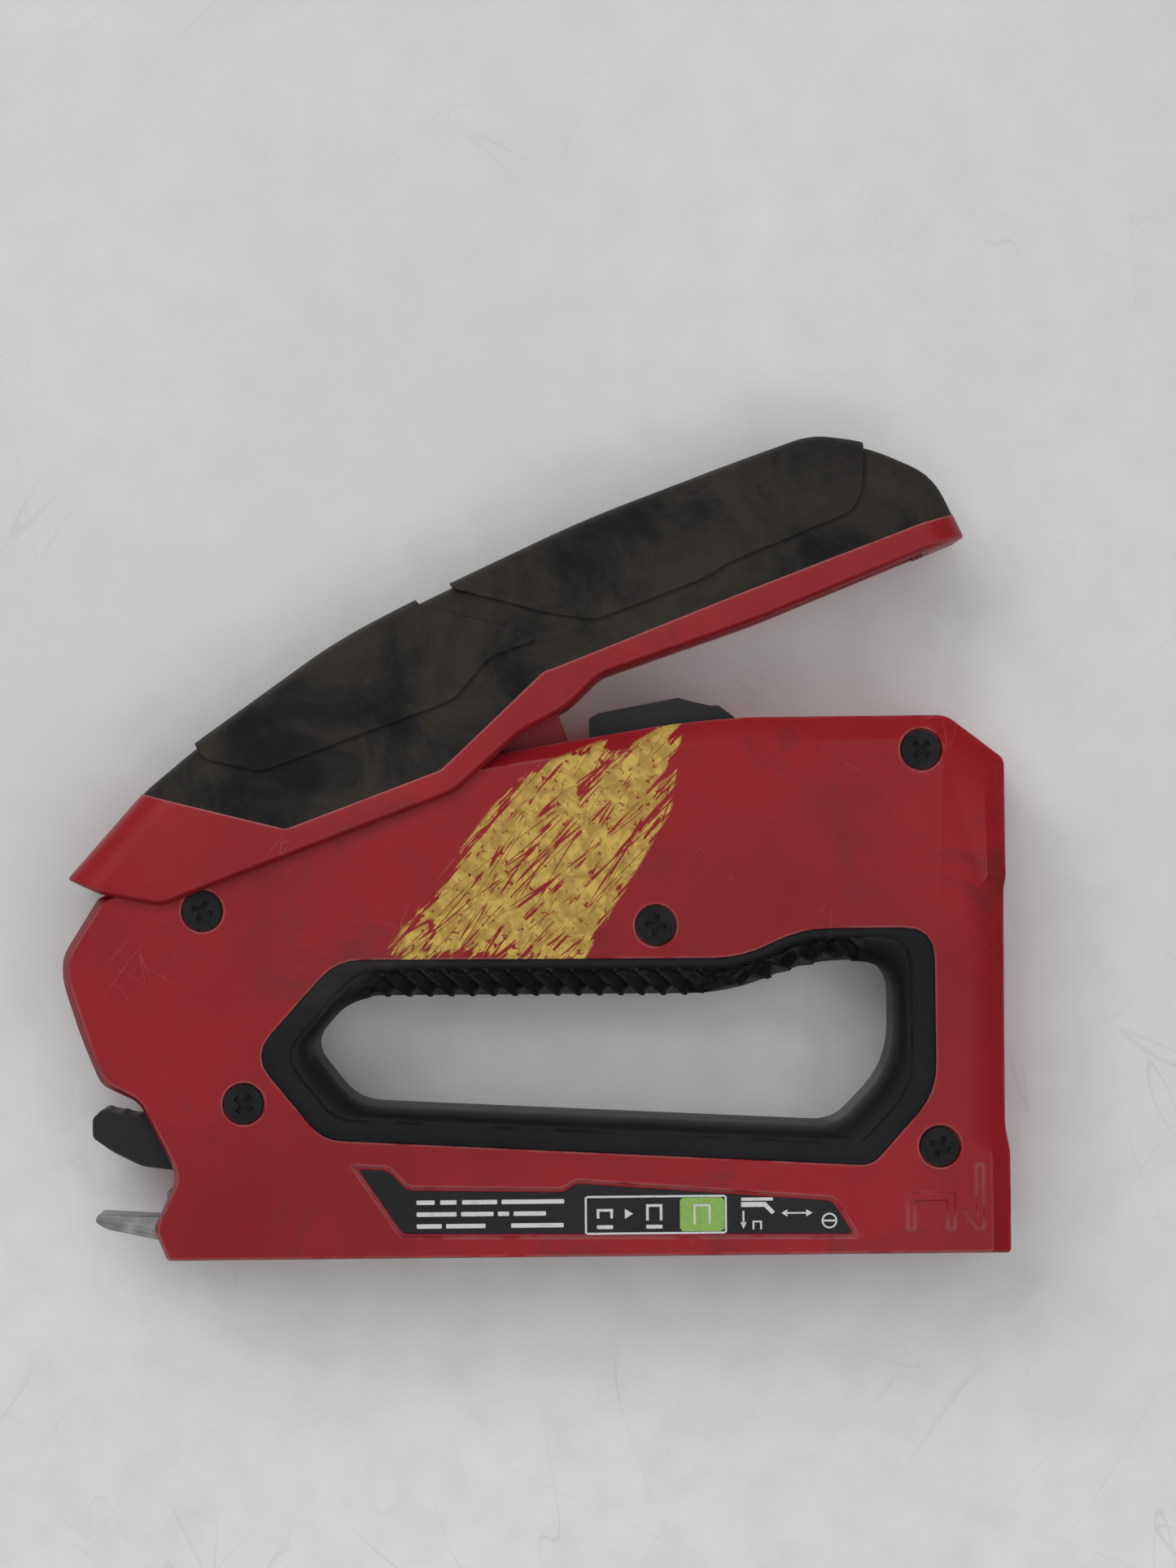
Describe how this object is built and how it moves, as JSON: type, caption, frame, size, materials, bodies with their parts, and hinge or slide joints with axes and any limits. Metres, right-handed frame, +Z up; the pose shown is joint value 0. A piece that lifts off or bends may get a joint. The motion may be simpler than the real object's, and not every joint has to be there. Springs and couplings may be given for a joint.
{
  "type": "staple gun",
  "caption": "Hand staple gun: two-part moulded body with a finger opening, rubber-topped squeeze handle, coil-driven striker and a pull-out staple magazine with a thumb latch.",
  "frame": {"origin": "middle of the tool's footprint, on the flat base", "axes": "+X towards the nose, +Y to the tool's left side, +Z up from the base to the handle"},
  "size_m": [0.1516, 0.0326, 0.1304],
  "materials": {
    "red_plastic": "fine moulded texture, scuffed",
    "black_rubber": "matt, dusty",
    "label_film": "printed film",
    "black_steel": "black oxide",
    "zinc_steel": "zinc plated",
    "spring_steel": "oiled spring wire",
    "lever_steel": "stamped",
    "bronze": "sintered",
    "black_plastic": "moulded"
  },
  "bodies": {
    "body": {"right_housing": "red_plastic", "left_housing": "red_plastic", "right_finger_grip": "black_rubber", "left_finger_grip": "black_rubber", "right_label": "label_film", "left_label": "label_film", "housing_screws": "black_steel", "nose_plate": "zinc_steel", "striker_guide": "zinc_steel", "staple_channel": "zinc_steel", "handle_pivot_pin": "zinc_steel", "lever_pivot_pin": "zinc_steel", "latch_pivot_pin": "zinc_steel", "drive_spring": "spring_steel", "drive_spring_cap": "black_plastic", "striker_bumper": "black_rubber", "lever_return_spring": "spring_steel", "latch_spring": "spring_steel"},
    "handle": {"handle_shell": "red_plastic", "handle_grip": "black_rubber", "handle_cam": "red_plastic"},
    "lever": {"right_lever_plate": "lever_steel", "left_lever_plate": "lever_steel", "lever_bush": "bronze", "lever_roller": "zinc_steel", "lever_roller_pin": "spring_steel", "lever_lift_pin": "spring_steel"},
    "striker": {"striker_block": "lever_steel", "driver_blade": "zinc_steel", "striker_rivet": "zinc_steel"},
    "lock": {"storage_lock": "black_plastic"},
    "latch": {"magazine_latch": "black_plastic"},
    "magazine": {"core_rail": "zinc_steel", "spring_rod": "zinc_steel", "rod_stop": "zinc_steel", "pusher_spring": "spring_steel"},
    "pusher": {"pusher": "zinc_steel", "pusher_block": "black_plastic"}
  },
  "joints": [
    {"name": "handle_hinge", "type": "hinge", "parent": "body", "child": "handle", "pos_m": [-0.0585, 0, 0.0635], "axis": [0, 1, 0], "range_deg": [0, 13], "stiffness_Nm_per_rad": 1.5, "springref_deg": -14.32},
    {"name": "lever_hinge", "type": "hinge", "parent": "body", "child": "lever", "pos_m": [0.036, 0, 0.066], "axis": [0, 1, 0], "range_deg": [-24, 0], "deforming": ["lever_return_spring"]},
    {"name": "striker_slide", "type": "slide", "parent": "body", "child": "striker", "axis": [0, 0, 1], "range_m": [0, 0.0125], "deforming": ["drive_spring"]},
    {"name": "lock_slide", "type": "slide", "parent": "body", "child": "lock", "axis": [1, 0, 0], "range_m": [0, 0.005]},
    {"name": "latch_hinge", "type": "hinge", "parent": "body", "child": "latch", "pos_m": [-0.0535, 0, 0.0175], "axis": [0, 1, 0], "range_deg": [-12, 0], "stiffness_Nm_per_rad": 0.15, "springref_deg": 11.46},
    {"name": "magazine_slide", "type": "slide", "parent": "body", "child": "magazine", "axis": [-1, 0, 0], "range_m": [0, 0.075]},
    {"name": "pusher_slide", "type": "slide", "parent": "magazine", "child": "pusher", "axis": [-1, 0, 0], "range_m": [0, 0.07], "stiffness_N_per_m": 40, "springref_m": -0.04, "deforming": ["pusher_spring"]}
  ],
  "couplings": [
    {"joint": "lever_hinge", "follows": "handle_hinge", "ratio": -1.8},
    {"joint": "striker_slide", "follows": "handle_hinge", "m_per_rad": 0.0532}
  ]
}
